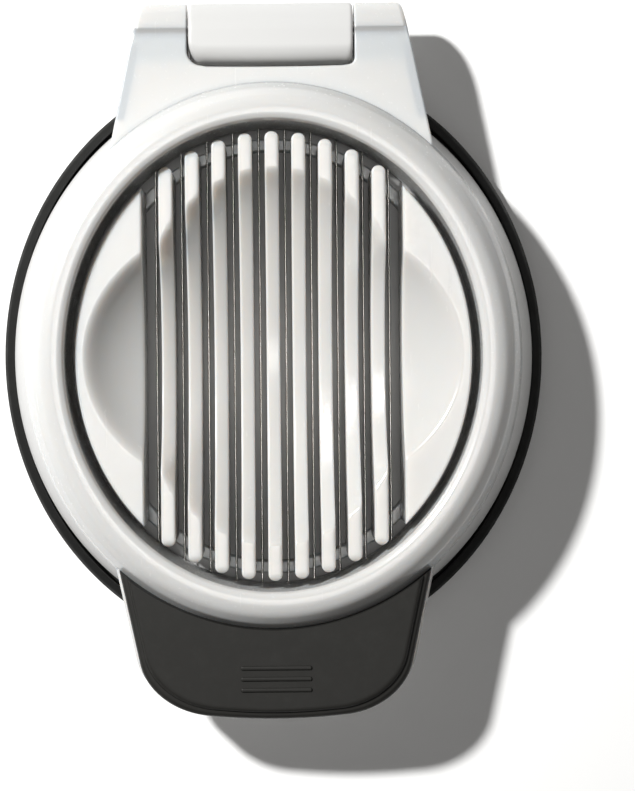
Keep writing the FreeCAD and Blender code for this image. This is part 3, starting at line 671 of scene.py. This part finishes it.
def lobe(side):
    """One solid side of the cradle: the bowl's flank, a rounded rim with a thin lip, and thin walls below."""
    ny, nx = 220, 56
    a, b, x0 = 47.25, 53.55, 31.1
    y_max = b * math.sqrt(1 - (x0 / a) ** 2) - 0.05
    verts, faces = [], []
    rr = 0.45

    def rim_x(y, off=0.0):
        return (a + off) * math.sqrt(max(0.0, 1 - (y / (b + off)) ** 2))

    rows = []
    for i in range(ny + 1):
        v = -1 + 2 * i / ny
        y = y_max * math.sin(v * math.pi / 2)
        xe = rim_x(y)
        row = [(x0, y, None, "bottom_in")]
        for j in range(nx + 1):
            s = j / nx
            s = 0.5 - 0.5 * math.cos(math.pi * s)
            x = x0 + (xe - x0) * s
            # distances to the straight edge and to the rim, for the rounded edges
            e_in = x - x0
            g = math.hypot(x / a ** 2, y / b ** 2)
            e_out = (1 - (x / a) ** 2 - (y / b) ** 2) / (2 * g) if g else 9
            z = height(x, y, 2.6)
            ri = 0.5
            if e_in < ri:
                z -= ri - math.sqrt(max(0.0, ri * ri - (ri - e_in) ** 2))
            if e_out < rr:
                z -= rr - math.sqrt(max(0.0, rr * rr - (rr - max(0.0, e_out)) ** 2))
            row.append((x, y, z, "top"))
        row.append((xe, y, 26.4, "low"))
        row.append((xe, y, 4.5, "low"))
        rows.append(row)
    m = len(rows[0])
    for row in rows:
        for j, (x, y, z, kind) in enumerate(row):
            if kind == "bottom_in":
                z = 4.5
            verts.append((side * x, y, z))
    for i in range(ny):
        for j in range(m):
            q = (j + 1) % m
            f = (i * m + j, i * m + q, (i + 1) * m + q, (i + 1) * m + j)
            faces.append(f if side > 0 else f[::-1])
    c0 = tuple(range(m))
    c1 = tuple(ny * m + j for j in range(m))
    faces.append(c0[::-1] if side > 0 else c0)
    faces.append(c1 if side > 0 else c1[::-1])
    return verts, faces


RAIL = fillet([(-3.2, 4.5, 0.2), (0.0, 4.5, 0.2), (0.0, 6.8, 0.5), (-3.2, 6.8, 0.6)], 4)
cradle_parts = [slat(k) for k in range(-4, 5)] + [lobe(1), lobe(-1), sweep(RAIL, 47.3, 53.6, 300)]
cradle = make("egg_cradle_moulding", cradle_parts, M_DISH, "base", ["egg_cradle"])

# ------------------------------------------------------------------ CAD parts that are shown as they are
for name, ob in NODES.items():
    if name.startswith("cutting_wire"):
        mat = M_WIRE
    elif name == "wire_retaining_ring":
        mat = M_BASE
    else:
        mat = M_STEEL
    ob.data.materials.clear()
    ob.data.materials.append(mat)

# ------------------------------------------------------------------ floor, light, camera
def pale_floor():
    m, nt, bsdf, co = new_material("pale_floor")
    c = remap(nt, noise(nt, co, 9.0, 3.0), 0.0, 1.0)
    nt.links.new(mix(nt, c, (0.97, 0.97, 0.97), (0.955, 0.955, 0.955)), bsdf.inputs["Base Color"])
    nt.links.new(remap(nt, noise(nt, co, 60.0, 3.0), 0.75, 0.85), bsdf.inputs["Roughness"])
    bsdf.inputs["Specular IOR Level"].default_value = 0.15
    return m


me = bpy.data.meshes.new("floor")
me.from_pydata([(-2.5, -2.5, 0), (2.5, -2.5, 0), (2.5, 2.5, 0), (-2.5, 2.5, 0)], [], [(0, 1, 2, 3)])
me.materials.append(pale_floor())
floor = bpy.data.objects.new("floor", me)
scene.collection.objects.link(floor)

world = bpy.data.worlds.new("studio")
scene.world = world
world.use_nodes = True
bg = world.node_tree.nodes["Background"]
bg.inputs["Color"].default_value = (1.0, 0.99, 0.975, 1.0)
bg.inputs["Strength"].default_value = 0.06


def aim(ob, loc, target):
    ob.location = loc
    ob.rotation_euler = (Vector(target) - Vector(loc)).to_track_quat("-Z", "Y").to_euler()


# the main lamp: small, about 0.9 m away, from the upper left
key = bpy.data.lights.new("key", "AREA")
key.shape = "DISK"
key.size = 0.060
key.energy = 11.4
key.color = (1.0, 0.998, 0.985)
key_ob = bpy.data.objects.new("key", key)
aim(key_ob, (-0.460, 0.335, 0.665), (0.02, -0.02, 0.0))
scene.collection.objects.link(key_ob)

# a weak soft light from straight above, which reaches down between the slats
fill = bpy.data.lights.new("overhead", "SUN")
fill.energy = 0.36
fill.angle = math.radians(12.0)
fill.color = (1.0, 0.985, 0.96)
fill_ob = bpy.data.objects.new("overhead", fill)
aim(fill_ob, (0.0, 0.0, 1.5), (0.0, 0.0, 0.0))
scene.collection.objects.link(fill_ob)

cam = bpy.data.cameras.new("camera")
cam.sensor_fit = "AUTO"
cam.sensor_width = 36.0
cam.lens = 109.5
cam.shift_x = (317.5 - 273.5) / 791.0
cam.shift_y = -(395.5 - 356.0) / 791.0
cam.clip_start = 0.05
cam.clip_end = 10.0
cam_ob = bpy.data.objects.new("camera", cam)
cam_ob.location = (0.0, 0.0, 0.600)
cam_ob.rotation_euler = (0.0, 0.0, math.radians(-0.55))
scene.collection.objects.link(cam_ob)
scene.camera = cam_ob

bpy.context.view_layer.update()
